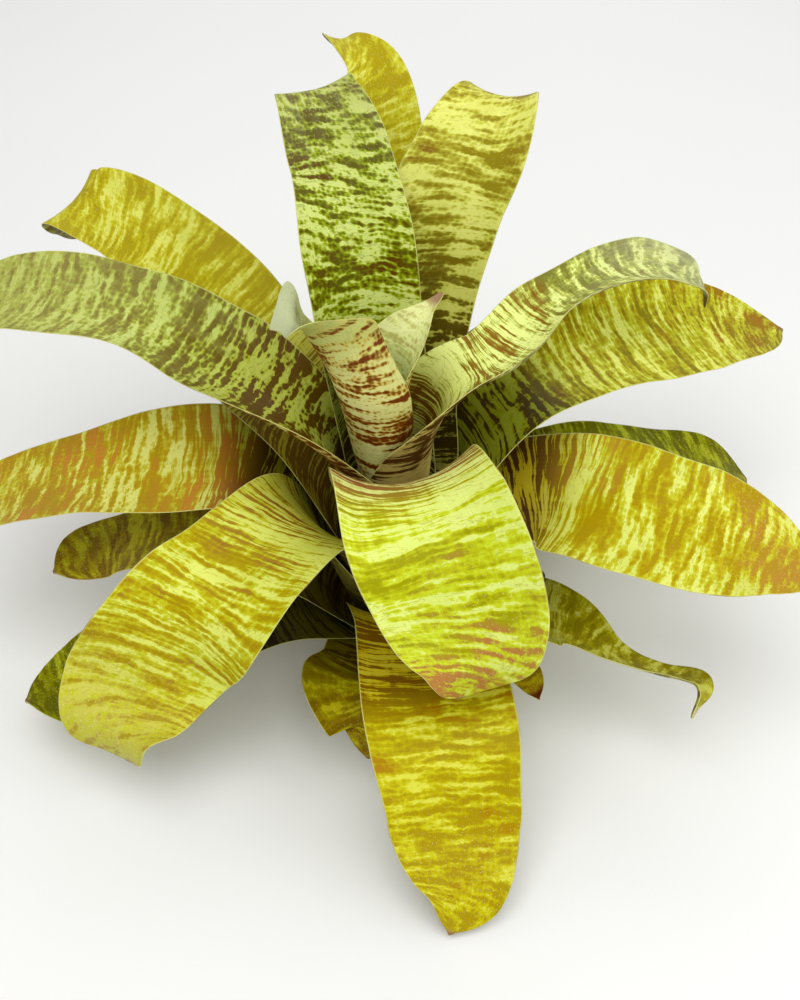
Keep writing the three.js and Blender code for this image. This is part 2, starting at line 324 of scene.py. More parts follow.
@dataclass(frozen=True)
class LeafFinish:
    """The banding of one leaf face, in screen colours from the bare ground to the darkest."""

    ground: int = 0xE0E76C
    cloud: int = 0xB0BC28
    halo: int = 0xC2C21C
    band: int = 0xB3A202
    core: int = 0xA48D02
    # The throat and root colours darken the leaf's base: darker pigment and painted shade where it
    # goes down into the rosette
    throat_tint_and_shade: int = 0x8E8A1C
    root: int = 0x5E3A0B
    tip: int = 0xC4B640
    rust_colour: int = 0x9C7A0C
    bloom_and_sheen_colour: int = 0xB4AE7C
    dry: int = 0x8C6A48
    cover: float = -0.02
    root_cover: float = 0.1
    tip_cover: float = 0.35
    rust: float = -0.35
    rust_low: float = 0.3
    rust_tip: float = 0.0
    root_from: float = 0.34
    root_reach: float = 0.47
    throat_tint_and_shade_share: float = 0.75
    lines_from: float = 0.42
    lines_reach: float = 0.6
    tip_wash: float = 0.3
    bloom_and_sheen: float = 0.0
    bloom_from: float = 0.6
    dry_from: float = 0.985
    dry_fade: float = 0.012
    lines: float = 0.45
    beads: float = 0.5
    cell: float = 2.0
    row: float = 0.46
    stretch: float = 0.062
    gloss: float = 0.4
    crisp: float = 1.25
    specks: float = 0.5
    speck_colour: int = 0xF4F2D0
    shine: float = 0.07
    slant: float = 0.0
    sway: float = 3.2

    def dress(self, name: str, length: float, width: float, seed: float) -> bpy.types.Material:
        """Makes the face's material.

        Args:
            name: the material's name.
            length: the leaf's length in millimetres.
            width: its width in millimetres.
            seed: shifts every pattern, so that no two leaves are alike.

        Returns:
            The material.
        """
        shop = Shop(name)
        chart = shop.node("UVMap", {"uv_map": LEAF_UV}, {})
        side = shop.node("SeparateXYZ", {}, {0: chart})
        along = side.sibling(1)
        x = (side - 0.5) * width
        y = along * length - x * self.slant
        root = 1 - shop.step(along, self.root_from, self.root_reach)
        fine = 1 - shop.step(along, self.lines_from, self.lines_reach)
        end = shop.step(along, *END_RISE)
        depth = self.banding(shop, x, y, root, fine, end, seed)

        # The ground with its greener clouds, the saturated halo, then the band and its darker cells
        cloud = shop.step(shop.sheet(CLOUDS, x, y, seed), *CLOUD_RISE) * CLOUD_WASH
        ground = shop.blend(cloud, linear(self.ground), linear(self.cloud))
        ground = shop.blend(end * self.tip_wash, ground, linear(self.tip))
        # Near the stem the ground and halo darken: darker pigment and painted shade in the throat
        ground = shop.blend(root * self.throat_tint_and_shade_share, ground, linear(self.throat_tint_and_shade))
        halo = shop.blend(cloud, linear(self.halo), linear(self.cloud))
        halo = shop.blend(root * self.throat_tint_and_shade_share, halo, linear(self.throat_tint_and_shade))
        colour = shop.blend(shop.step(depth, *HALO_RISE), ground, halo)
        patch = shop.sheet(PATCHES, x, y, seed) + fine * self.rust_low + end * self.rust_tip
        redder = shop.step(patch + self.rust, *RUST_RISE)
        band = shop.blend(end * self.tip_wash, linear(self.band), linear(self.tip))
        body = shop.blend(redder, linear(self.core), linear(self.rust_colour))
        colour = shop.blend(shop.step(depth, *BAND_RISE), colour, band)
        colour = shop.blend(shop.step(depth, *CORE_RISE), colour, body)
        colour = shop.blend(shop.step(depth, *FINE_RISE) * fine * FINE_WASH, colour, body)
        # The darkest root colour deep in the bands: darker pigment and painted shade
        root_dark_and_shade = shop.step(depth, *ROOT_RISE) * root * ROOT_DARK_AND_SHADE_WASH
        colour = shop.blend(root_dark_and_shade, colour, linear(self.root))
        colour = self.lined(shop, x, y, depth, colour, seed)

        # Fine lengthwise veins, the grey bloom, which on the sunny face is a pale painted sheen,
        # the pale margin and the dry point
        vein = shop.sheet(VEINS, x, y, seed)
        shades = {0: colour, "Scale": vein * VEIN_SHADE + 1.0}
        colour = shop.node("VectorMath", {"operation": "SCALE"}, shades)
        if self.bloom_and_sheen:
            dust = shop.sheet(DUST, x, y, seed)
            bloom_and_sheen_veil = shop.step(along + dust, self.bloom_from, self.bloom_from + BLOOM_REACH)
            colour = shop.blend(bloom_and_sheen_veil * self.bloom_and_sheen, colour, linear(self.bloom_and_sheen_colour))
        edge = shop.step(abs(side - 0.5) * 2, *MARGIN_RISE)
        colour = shop.blend(edge * MARGIN_WASH, colour, linear(self.ground))
        fray = along + shop.sheet(FRAY, x, y, seed)
        dry = shop.step(fray, self.dry_from, self.dry_from + self.dry_fade)
        colour = shop.blend(dry, colour, linear(self.dry))

        # Tiny scales, most of them near the point
        at = shop.node("CombineXYZ", {}, {0: x * SPECK_CELL + seed, 1: y * SPECK_CELL, 2: 0.0})
        spot = shop.node("TexVoronoi", {"voronoi_dimensions": "2D"}, {"Vector": at, "Scale": 1.0})
        dots = (1 - shop.step(spot, *SPECK_RISE)) * shop.step(along, *SPECK_REACH) * self.specks
        colour = shop.blend(dots, colour, linear(self.speck_colour))

        rough = shop.sheet(WORN, x, y, seed) + self.gloss
        grain = vein * VEIN_RELIEF + shop.sheet(GRAIN, x, y, seed)
        relief = {"Strength": BUMP_STRENGTH, "Distance": BUMP_HEIGHT, "Height": grain}
        bump = shop.node("Bump", {}, relief)
        inputs = {"Base Color": colour, "Roughness": rough, "Normal": bump}
        return shop.finish({**inputs, "Specular IOR Level": self.shine})

    def banding(
        self, shop: Shop, x: Signal, y: Signal, root: Signal, fine: Signal, end: Signal, seed: float
    ) -> Signal:
        """How deep in a band each point lies.

        The bands are rows of round cells that run into each other, because the field that makes the
        rows is read at each cell's middle. Nearer the stem they give way to fine wavy lines.

        Args:
            shop: the material's nodes.
            x: millimetres across the leaf.
            y: millimetres along it.
            root: 1 in the throat of the rosette, where darker pigment and painted shade go.
            fine: 1 where the pattern is fine lines.
            end: 1 at the leaf's point.
            seed: the leaf's own shift.

        Returns:
            Below about -0.2 on the bare ground, above 0 in a band.
        """
        bow = shop.sheet(BOW, x, y, seed) * self.sway
        wave = y + bow + shop.sheet(SHAKE, x, y, seed)
        across, down = 1 / (self.cell * CELL_WIDTH), 1 / (self.cell * CELL_HEIGHT)
        at = shop.node("CombineXYZ", {}, {0: x * across + seed, 1: wave * down, 2: 0.0})
        settings = {"feature": "SMOOTH_F1", "voronoi_dimensions": "2D"}
        inputs = {"Vector": at, "Scale": 1.0, "Smoothness": CELL_BLUR, "Randomness": CELL_SCATTER}
        beads = shop.node("TexVoronoi", settings, inputs)
        middle = shop.node("SeparateXYZ", {}, {0: beads.sibling("Position")})
        mid_x = (middle - seed) * (1 / across)
        mid_y = middle.sibling(1) * (1 / down)
        round_rows = shop.noise(mid_x * self.stretch, mid_y * self.row, seed + ROW_SEED, 1.0)
        even_rows = shop.noise(x * self.stretch, wave * self.row, seed + ROW_SEED, 2.0)
        cells = round_rows * CELL_SHARE + even_rows * ROW_SHARE + (BEAD_EDGE - beads) * self.beads
        hairs = shop.sheet(HAIRS, x, wave, seed) - HAIR_GAP
        belts = shop.sheet(BELTS, x, wave, seed)
        columns = shop.sheet(COLUMNS, x, y, seed)
        depth = cells + fine * (hairs - cells) + belts + columns + self.cover
        # Bands spread near the stem, which darkens the throat with darker pigment and painted
        # shade, and at the point
        depth = depth + root * self.root_cover + end * self.tip_cover
        return depth * (fine * FINE_CRISP + self.crisp)

    def lined(
        self, shop: Shop, x: Signal, y: Signal, depth: Signal, colour: Signal, seed: float
    ) -> Signal:
        """Draws the hair lines that wander across the bare ground.

        Args:
            shop: the material's nodes.
            x: millimetres across the leaf.
            y: millimetres along it.
            depth: how deep in a band each point lies.
            colour: the colour so far.
            seed: the leaf's own shift.

        Returns:
            The colour with its lines.
        """
        bow = y + shop.sheet(LINE_BOW, x, y, seed)
        hair = 1 - shop.step(abs(shop.sheet(LINES, x, bow, seed)), *HAIR_RISE)
        bare = 1 - shop.step(depth, *BARE_FALL)
        return shop.blend(hair * bare * self.lines, colour, linear(self.core))


@dataclass(frozen=True)
class MarginFinish:
    """The thin pale rim between a leaf's faces."""

    pale: int = 0xC8C870
    brown: int = 0x9A8440
    patch_cycles: float = 60.0
    patch_rise: Band = (0.5, 0.72)
    roughness: float = 0.5

    def dress(self) -> bpy.types.Material:
        """Makes the rim's material.

        Returns:
            The material.
        """
        shop = Shop("leaf_margin")
        at = shop.node("TexCoord", {}, {}, "Object")
        patch = shop.node("TexNoise", {}, {"Vector": at, "Scale": self.patch_cycles, "Detail": 3.0})
        mask = shop.step(patch, *self.patch_rise)
        colour = shop.blend(mask, linear(self.pale), linear(self.brown))
        return shop.finish({"Base Color": colour, "Roughness": self.roughness})


def between(values: tuple, u: np.ndarray) -> np.ndarray:
    """A smooth curve through values that are evenly spaced from 0 to 1.

    Args:
        values: the values.
        u: places from 0 to 1.

    Returns:
        The curve's value at each place.
    """
    last = len(values) - 1
    place = np.clip(u, 0, 1) * last
    i = np.minimum(np.floor(place).astype(int), last - 1)
    t = place - i
    t = t * t * (3 - 2 * t)
    v = np.asarray(values, float)
    return v[i] * (1 - t) + v[i + 1] * t


def smooth(low: float, high: float, u: np.ndarray) -> np.ndarray:
    """A smooth rise from 0 at low to 1 at high."""
    t = np.clip((u - low) / (high - low), 0, 1)
    return t * t * (3 - 2 * t)


def turned(points: np.ndarray, angle: np.ndarray | float) -> np.ndarray:
    """Points turned about the vertical through the origin.

    Args:
        points: rows of x, y, z.
        angle: radians, one or one for each point.

    Returns:
        The turned points.
    """
    c, s = np.cos(angle), np.sin(angle)
    x, y = points[:, 0], points[:, 1]
    return np.stack([x * c - y * s, x * s + y * c, points[:, 2]], 1)


class Rib:
    """A leaf's rib: a smooth curve through points, measured by its length."""

    samples: int = 80
    least_gap: float = 1e-4
    heading_step: float = 0.004

    def __init__(self, points: list[Place]) -> None:
        """Samples the centripetal curve through the points closely.

        Args:
            points: where the rib passes, in millimetres.
        """
        p = np.asarray(points, float)
        p = np.vstack([2 * p[0] - p[1], p, 2 * p[-1] - p[-2]])
        rows = []
        for a, b, c, d in zip(p, p[1:], p[2:], p[3:]):
            gaps = (np.linalg.norm(m - n) ** 0.5 for m, n in ((b, a), (c, b), (d, c)))
            t0, t1, t2 = (max(gap, self.least_gap) for gap in gaps)
            m1 = ((b - a) / t0 - (c - a) / (t0 + t1) + (c - b) / t1) * t1
            m2 = ((c - b) / t1 - (d - b) / (t1 + t2) + (d - c) / t2) * t1
            t = np.linspace(0, 1, self.samples, endpoint=False)[:, None]
            square, cube = -3 * b + 3 * c - 2 * m1 - m2, 2 * b - 2 * c + m1 + m2
            rows.append(b + m1 * t + square * t**2 + cube * t**3)
        self.line = np.vstack([*rows, p[-2:-1]])
        lengths = np.linalg.norm(np.diff(self.line, axis=0), axis=1)
        self.run = np.concatenate([[0], np.cumsum(lengths)])
        self.length = float(self.run[-1])

    def at(self, u: np.ndarray) -> np.ndarray:
        """The points at shares u of the length."""
        s = np.clip(u, 0, 1) * self.length
        return np.stack([np.interp(s, self.run, self.line[:, k]) for k in range(3)], 1)

    def heading(self, u: np.ndarray) -> np.ndarray:
        """The unit directions at shares u of the length."""
        d = self.at(u + self.heading_step) - self.at(u - self.heading_step)
        return d / np.linalg.norm(d, axis=1)[:, None]


@dataclass(frozen=True)
class Leaf:
    """One leaf: its shape as the frame has it, in millimetres and degrees, and its finish."""

    name: str
    layer: int
    heading: float
    width: float
    rib: tuple
    skin: Skin
    face: LeafFinish
    back: LeafFinish
    taper: tuple = (1, 1)
    cup: tuple = (50, 35, 20, 12, 10)
    roll: tuple = (0, 0)
    skew: tuple = (0, 0)
    free: Band = (0.15, 0.39)
    lean: float = 0.0
    ripple: float = 0.9
    strap: tuple = STRAP
    rows: int = 84
    columns: int = 26
    crowding: float = 1.35
    margin_power: float = 6.0
    wave_cycles: tuple = (3.1, 5.3, 8.7)
    wave_height: float = 1.55
    wave_power: float = 2.2
    wave_rise: Band = (0.3, 0.6)
    wave_fall: Band = (0.95, 1.0)
    wave_step: float = 0.01
    wave_sizes: Band = (0.4, 1.0)

    def rib_curve(self, leaves: int) -> Rib:
        """The rib from the stem, through the cup of its layer, then out.

        Args:
            leaves: how many leaves the rosette has.

        Returns:
            The rib.
        """
        foot = LOWEST_FOOT + FOOT_STEP * (leaves - 1 - self.layer)
        stem_radius = STEM_FOOT_RADIUS + (STEM_TIP_RADIUS - STEM_FOOT_RADIUS) * foot / STEM_HEIGHT
        reach = stem_radius + FOOT_CLEARANCE
        cup_reach = CUP_RADIUS + CUP_STEP * self.layer
        flare = reach + (cup_reach - reach) * FLARE_SHARE
        start = [(reach, 0, foot), (flare, 0, foot + FLARE_RISE), (cup_reach, 0, foot + CUP_HEIGHT)]
        return Rib([*start, *self.rib])

    def surface(self, rib: Rib, u: np.ndarray, across: np.ndarray) -> np.ndarray:
        """Points of the under face.

        Args:
            rib: the leaf's rib.
            u: shares of its length.
            across: -1 to 1, from the right margin to the left.

        Returns:
            Rows of x, y, z in millimetres, with the leaf heading along +X.
        """
        v = across + between(self.skew, u)
        on, along = rib.at(u), rib.heading(u)
        left = np.zeros_like(on)
        left[:, 1] = 1
        left -= along * np.sum(left * along, 1)[:, None]
        left /= np.linalg.norm(left, axis=1)[:, None]
        up = np.cross(along, left)
        roll = np.radians(between(self.roll, u))[:, None]
        left, up = left * np.cos(roll) + up * np.sin(roll), up * np.cos(roll) - left * np.sin(roll)
        places, shares = zip(*self.strap)
        width = self.width * between(self.taper, u) * np.interp(u, places, shares)
        width = np.maximum(width, POINT_WIDTH)

        bend = np.radians(np.maximum(between(self.cup, u), LEAST_BEND))
        radius = (width / (2 * bend))[:, None]
        turn = (bend * v)[:, None]
        blade = on + left * radius * np.sin(turn) + up * radius * (1 - np.cos(turn))

        heights, leans = zip(*HEART_LEAN)
        lean = self.lean * np.interp(on[:, 2], heights, leans)
        zero = np.zeros_like(lean)
        axis = turned(np.stack([lean, zero, zero], 1), math.radians(HEART_HEADING - self.heading))
        spoke = on - axis
        reach = np.hypot(spoke[:, 0], spoke[:, 1])
        wrap = np.minimum(width / (2 * reach), math.radians(MOST_WRAP))
        sheath = turned(spoke, wrap * v) + axis

        free = smooth(*self.free, u)[:, None]
        return sheath * (1 - free) + blade * free

    def build(self, leaves: int, rim: bpy.types.Material) -> bpy.types.Object:
        """Models the leaf from a grid, gives it thickness and dresses it.

        Args:
            leaves: how many leaves the rosette has.
            rim: the material of the margin.

        Returns:
            The finished piece.
        """
        rib = self.rib_curve(leaves)
        bpy.ops.object.select_all(action="DESELECT")
        bpy.ops.mesh.primitive_grid_add(
            x_subdivisions=self.columns, y_subdivisions=self.rows, size=2, calc_uvs=False
        )
        leaf = bpy.context.object
        leaf.name = leaf.data.name = self.name + "_blade"
        self.shape(leaf, rib)

        seed = self.layer * SEED_STEP
        face = self.face.dress(self.name + "_face", rib.length, self.width, seed)
        back = self.back.dress(self.name + "_back", rib.length, self.width, seed + BACK_SEED)
        for skin in (back, face, rim):
            leaf.data.materials.append(skin)
        self.thicken(leaf)

        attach(leaf, ROOT_BODY)
        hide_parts(self.name)
        log.info("%s: %.0f mm long, %d faces", leaf.name, rib.length, len(leaf.data.polygons))
        return leaf

    def shape(self, leaf: bpy.types.Object, rib: Rib) -> None:
        """Bends the flat grid into the leaf's under face, with its chart and its thinner margins.

        Args:
            leaf: the grid, from -1 to 1 each way.
            rib: the leaf's rib.
        """
        mesh = leaf.data
        flat = np.zeros(len(mesh.vertices) * 3)
        mesh.vertices.foreach_get("co", flat)
        flat = flat.reshape(-1, 3)
        across = flat[:, 0]
        u = 1 - (1 - (flat[:, 1] + 1) / 2) ** self.crowding
        points = self.surface(rib, u, across) + self.waves(rib, u, across)
        points = turned(points, math.radians(self.heading)) * MM
        mesh.vertices.foreach_set("co", points.astype(np.float32).ravel())

        chart = mesh.uv_layers.new(name=LEAF_UV)
        corners = np.zeros(len(mesh.loops), int)
        mesh.loops.foreach_get("vertex_index", corners)
        places = np.stack([across / 2 + 0.5, u], 1)[corners]
        chart.data.foreach_set("uv", places.astype(np.float32).ravel())

        middle = leaf.vertex_groups.new(name="middle")
        for i, weight in enumerate(1 - np.abs(across) ** self.margin_power):
            middle.add([i], float(max(weight, 0)), "REPLACE")
        mesh.update()

    def thicken(self, leaf: bpy.types.Object) -> None:
        """Gives the under face its thickness, less at the margins, and rounds it.

        Args:
            leaf: the leaf, with its three materials.
        """
        thick = leaf.modifiers.new("thickness", "SOLIDIFY")
        thick.thickness = THICKNESS * MM
        thick.offset = 1
        thick.use_even_offset = False
        thick.vertex_group = "middle"
        thick.thickness_vertex_group = MARGIN_SHARE
        thick.material_offset = 1
        thick.material_offset_rim = 2
        bpy.ops.object.modifier_apply(modifier=thick.name)
        finer = leaf.modifiers.new("finer", "SUBSURF")
        finer.levels = finer.render_levels = 1
        bpy.ops.object.modifier_apply(modifier=finer.name)
        bpy.ops.object.shade_smooth()

    def waves(self, rib: Rib, u: np.ndarray, across: np.ndarray) -> np.ndarray:
        """Small waves of the margins.

        Args:
            rib: the leaf's rib.
            u: shares of its length.
            across: -1 to 1 across the blade.

        Returns:
            Offsets in millimetres.
        """
        dice = np.random.default_rng(WAVE_SEED + self.layer)
        lefter = self.surface(rib, u, np.clip(across + self.wave_step, -1, 1))
        righter = self.surface(rib, u, np.clip(across - self.wave_step, -1, 1))
        normal = np.cross(rib.heading(u), lefter - righter)
        normal /= np.maximum(np.linalg.norm(normal, axis=1), 1e-9)[:, None]
        loose = smooth(*self.wave_rise, u) * (1 - smooth(*self.wave_fall, u))
        lift = np.zeros_like(u)
        for cycles in self.wave_cycles:
            for edge in (-1, 1):
                phase, size = dice.uniform(0, FULL_TURN), dice.uniform(*self.wave_sizes)
                near = np.clip(across * edge, 0, 1) ** self.wave_power
                lift += size / cycles * near * np.sin(FULL_TURN * cycles * u + phase)
        return normal * (lift * loose * self.ripple * self.wave_height)[:, None]


@dataclass(frozen=True)
class StemFinish:
    """Brown fibrous stem skin."""

    dark: int = 0x4A3422
    light: int = 0x9A7A50
    fibres: Place = (260.0, 260.0, 60.0)
    fibre_rise: Band = (0.35, 0.65)
    patch_cycles: float = 90.0
    patch_rise: Band = (0.5, 0.75)
    patch_wash: float = 0.5
    relief: float = 0.6
    relief_height: float = 0.0006
    roughness: float = 0.85

    def dress(self) -> bpy.types.Material:
        """Makes the stem's material.

        Returns:
            The material.
        """
        shop = Shop("stem_skin")
        at = shop.node("TexCoord", {}, {}, "Object")
        stretched = shop.node("Mapping", {}, {"Vector": at, "Scale": self.fibres})
        fibre = shop.node("TexNoise", {}, {"Vector": stretched, "Scale": 1.0, "Detail": 4.0})
        patch = shop.node("TexNoise", {}, {"Vector": at, "Scale": self.patch_cycles, "Detail": 3.0})
        mask = shop.step(fibre, *self.fibre_rise)
        colour = shop.blend(mask, linear(self.dark), linear(self.light))
        mask = shop.step(patch, *self.patch_rise) * self.patch_wash
        colour = shop.blend(mask, colour, linear(self.dark))
        relief = {"Strength": self.relief, "Distance": self.relief_height, "Height": fibre}
        bump = shop.node("Bump", {}, relief)
        return shop.finish({"Base Color": colour, "Roughness": self.roughness, "Normal": bump})


@dataclass
class Stem:
    """The short stem, with the scars of old leaves and a flat cut foot."""

    name: str = "stem"
    sides: int = 96
    rings: int = 60
    scar_depth: float = 0.35
    scar_tilt: float = 0.4
    lump_depth: float = 0.15
    lump_folds: tuple = (2, 3, 5)
    lump_rise: float = 0.2
    flat_foot: float = 0.05
    sharp_edge: float = 50.0

    def build(self) -> bpy.types.Object:
        """Models the stem from a cone and dresses it.

        Returns:
            The finished piece.
        """
        bpy.ops.object.select_all(action="DESELECT")
        bpy.ops.mesh.primitive_cone_add(
            vertices=self.sides, radius1=STEM_FOOT_RADIUS * MM, radius2=STEM_TIP_RADIUS * MM,
            depth=STEM_HEIGHT * MM, location=(0, 0, STEM_HEIGHT * MM / 2),
        )
        stem = bpy.context.object
        stem.name = stem.data.name = "stem_body"
        bpy.ops.object.transform_apply(location=True, rotation=True, scale=True)
        bpy.ops.object.mode_set(mode="EDIT")
        for ring in range(1, self.rings):
            bpy.ops.mesh.select_all(action="SELECT")
            height = STEM_HEIGHT * MM * ring / self.rings
            bpy.ops.mesh.bisect(plane_co=(0, 0, height), plane_no=(0, 0, 1))
        bpy.ops.object.mode_set(mode="OBJECT")
        self.carve(stem.data)
        bpy.ops.object.shade_smooth_by_angle(angle=math.radians(self.sharp_edge))
        stem.data.materials.append(StemFinish().dress())
        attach(stem, ROOT_BODY)
        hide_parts(self.name)
        log.info("%s: %d faces", stem.name, len(stem.data.polygons))
        return stem

    def carve(self, mesh: bpy.types.Mesh) -> None:
        """Presses the leaf scars and some lumps into the side, and leaves the foot flat.

        Args:
            mesh: the stem's mesh.
        """
        phases = np.random.default_rng(STEM_SEED).uniform(0, FULL_TURN, 6)
        for corner in mesh.vertices:
            z = corner.co.z / MM
            if z <= self.flat_foot:
                continue
            turn = math.atan2(corner.co.y, corner.co.x)
            tilt = self.scar_tilt * math.sin(turn + phases[0])
            scar = abs(math.sin(math.pi * (z - LOWEST_FOOT) / FOOT_STEP / 2 + tilt))
            folds = (math.sin(k * turn + phases[k] + z * self.lump_rise) for k in self.lump_folds)
            lump = sum(folds) / len(self.lump_folds)
            inward = self.scar_depth * (1 - scar) + self.lump_depth * (1 + lump)
            share = 1 - inward * MM / max(math.hypot(corner.co.x, corner.co.y), MM)
            corner.co.x *= share
            corner.co.y *= share


# The finishes of the upper faces, then of the outer sides and the undersides
# The sunny face's pale bloom near its end is a painted sheen along the glossy bend
SUNNY = LeafFinish(
    slant=-0.22, sway=2.6, stretch=0.05, tip=0xBEB43A, tip_wash=1.0, tip_cover=0.0, rust=-0.25,
    rust_low=0.8, rust_colour=0x9E7226, bloom_and_sheen=0.45, bloom_and_sheen_colour=0xD2D478, bloom_from=0.78,
)
BROAD = replace(
    SUNNY, band=0xACA004, core=0x887C00, rust_colour=0x9A6E0C, root=0x301C02, throat_tint_and_shade=0x788008,
    ground=0xE8EC72, halo=0xC0C424, root_from=0.38, root_reach=0.52, throat_tint_and_shade_share=0.9,
    lines_from=0.28, lines_reach=0.4, cell=2.4, slant=0.2, tip_wash=0.3, tip_cover=0.35, rust=-0.2,
    rust_low=0.3, rust_tip=0.4, cover=-0.03, root_cover=0.02, bloom_and_sheen=0.0,
)
DAPPLED = LeafFinish(
    ground=0xE8EA7C, halo=0xCCCC50, band=0xAEA630, core=0x928414, rust_colour=0x8A5A24,
    throat_tint_and_shade=0xA8A63C, root=0x4A3A06, tip=0xBCB43C, rust_low=0.2, rust_tip=0.5, tip_cover=0.1,
    tip_wash=0.35, beads=0.7, cover=-0.03, lines=0.3, slant=-0.25, sway=2.2, root_from=0.4,
    root_reach=0.74, throat_tint_and_shade_share=0.5, root_cover=0.05, lines_from=0.2, lines_reach=0.4,
)
LIME = LeafFinish(
    ground=0xDEEA7E, cloud=0xC0D430, halo=0xC8D424, band=0xBAC010, core=0x9C9A00,
    rust_colour=0xB07A38, throat_tint_and_shade=0xD0D28E, root=0x8A5230, tip=0xC0C438, cover=-0.07, root_from=0.48,
    root_reach=0.6, root_cover=0.3, lines_from=0.55, lines_reach=0.7, rust_low=0.25, rust_tip=0.95,
    throat_tint_and_shade_share=0.7, slant=0.2, sway=2.6, stretch=0.05,
)
GREEN = LeafFinish(
    ground=0xCCD878, cloud=0xA8B83C, halo=0x96A616, band=0x747E02, core=0x585400,
    rust_colour=0x5A3802, throat_tint_and_shade=0xA8A716, root=0x5A3A08, tip=0xA8AC58, cover=-0.05, bloom_and_sheen=0.4,
    bloom_and_sheen_colour=0x988E6C, beads=0.9, row=0.48, stretch=0.075, gloss=0.42, crisp=1.4, rust=0.05,
    rust_low=0.6, rust_tip=-0.6, tip_cover=0.1, tip_wash=0.45, throat_tint_and_shade_share=0.3, lines_from=0.3,
    lines_reach=0.5, bloom_from=0.62, slant=0.22, sway=2.2,
)
PALE = replace(
    GREEN, ground=0xF2F8A8, cloud=0xDEE690, halo=0xE4EA94, band=0xD4D87C, core=0xBEBE64,
    rust_colour=0xC0A878, tip=0xCCC898, bloom_and_sheen=0.5, bloom_and_sheen_colour=0xBCAA90, bloom_from=0.84,
    dry=0x9A7858, dry_from=0.93, dry_fade=0.04, lines_from=0.2, lines_reach=0.3, stretch=0.05,
    slant=0.0, cover=-0.15,
)
SAIL = replace(
    GREEN, tip=0xACB284, tip_wash=0.8, dry=0xB8BE92, dry_from=0.91, dry_fade=0.05, slant=0.0,
    tip_cover=-0.3, specks=0.9, speck_colour=0x7C7050,
)
MISTY = LeafFinish(
    ground=0xCCDA78, cloud=0xAABC3C, halo=0xA4B03A, band=0x88862C, core=0x706418,
    rust_colour=0x6C4A10, throat_tint_and_shade=0xAAAE2E, root=0x5A3E04, tip=0xBCC25C, cover=-0.04, bloom_and_sheen=0.4,
    bloom_and_sheen_colour=0xABA95E, beads=0.8, row=0.44, stretch=0.075, gloss=0.42, rust=-0.2, rust_low=0.4,
    tip_cover=0.0, tip_wash=0.5, cell=2.3, throat_tint_and_shade_share=0.65, bloom_from=0.45, root_from=0.42,
    root_reach=0.62, root_cover=0.16, lines_from=0.2, lines_reach=0.36,
)
HOOKED = LeafFinish(
    ground=0xEEF898, cloud=0xD0E070, halo=0xBCC050, band=0x9AA040, core=0x7E7C2C,
    rust_colour=0x8A5E12, throat_tint_and_shade=0xBEBA3C, root=0x6E4604, tip=0xB0B488, cover=-0.04, bloom_and_sheen=0.6,
    bloom_and_sheen_colour=0xB4B694, bloom_from=0.62, beads=0.6, row=0.48, stretch=0.06, gloss=0.42,
    rust=-0.3, rust_low=0.7, tip_cover=0.05, throat_tint_and_shade_share=0.65, root_cover=0.2, lines_from=0.55,
    lines_reach=0.72, dry=0x5E4630, dry_from=0.92, dry_fade=0.03,
)
RUSTY = LeafFinish(
    ground=0xDEDF76, halo=0xC4B82C, band=0xB0980C, core=0xAC8A14, rust_colour=0xC0802A,
    throat_tint_and_shade=0x7C7A0A, root=0x1C0400, tip=0xC4B03C, rust=0.1, cover=0.04, root_from=0.36,
    root_reach=0.5, throat_tint_and_shade_share=1.0, root_cover=0.3, sway=2.6,
)
AMBER = LeafFinish(
    ground=0xE5EB77, halo=0xC8C828, band=0xBAAA06, core=0xAA9000, rust_colour=0xB4882A,
    throat_tint_and_shade=0xA08E14, root=0x2C0800, tip=0xC4AC40, rust=-0.15, rust_tip=0.3, cover=0.02,
    root_from=0.4, root_reach=0.52, throat_tint_and_shade_share=1.0, root_cover=0.26, lines_from=0.46,
    lines_reach=0.62, sway=2.6,
)
OCHRE = LeafFinish(
    ground=0xE0E168, halo=0xCAC430, band=0xB8AE12, core=0xAA9A08, rust_colour=0xA4900C,
    throat_tint_and_shade=0x9A8C10, root=0x6A4A08, tip=0xC4BC30, cover=0.03, rust_low=0.5, slant=-0.25, sway=2.6,
)
HANGING = replace(
    OCHRE, ground=0xDAD84A, cloud=0xC8CC20, halo=0xC4BC0A, band=0xB4A600, core=0xA69000,
    root=0x6E4A00, throat_tint_and_shade=0xB49C04, root_from=0.44, root_reach=0.58, rust_colour=0xA87400,
    rust_low=0.8, tip=0xC6BC08, cover=0.12, slant=0.12,
)
SHADY = LeafFinish(
    ground=0xC0B414, cloud=0xA0A80A, halo=0xA09200, band=0x927C00, core=0x7E6400,
    rust_colour=0x6E4A04, throat_tint_and_shade=0x4A4000, root=0x281800, tip=0xA0940A, beads=0.4, root_from=0.36,
    root_reach=0.6, throat_tint_and_shade_share=0.9, shine=0.04,
)
MOSSY = replace(SHADY, ground=0xB4B828, cloud=0x98A414, halo=0x8E9600, band=0x787C00, core=0x686800)
OLIVE = replace(
    SHADY, ground=0xC6C654, cloud=0xB0B024, halo=0xA8A20C, band=0x948C02, core=0x807400,
    rust_colour=0x7C6000, tip=0xB4AE5C, dry=0xC4BC8C, dry_from=0.95, dry_fade=0.03,
)
SCORCHED = replace(SHADY, tip=0xB09C10, dry=0x5A2006, dry_from=0.93, dry_fade=0.05, specks=0.1)
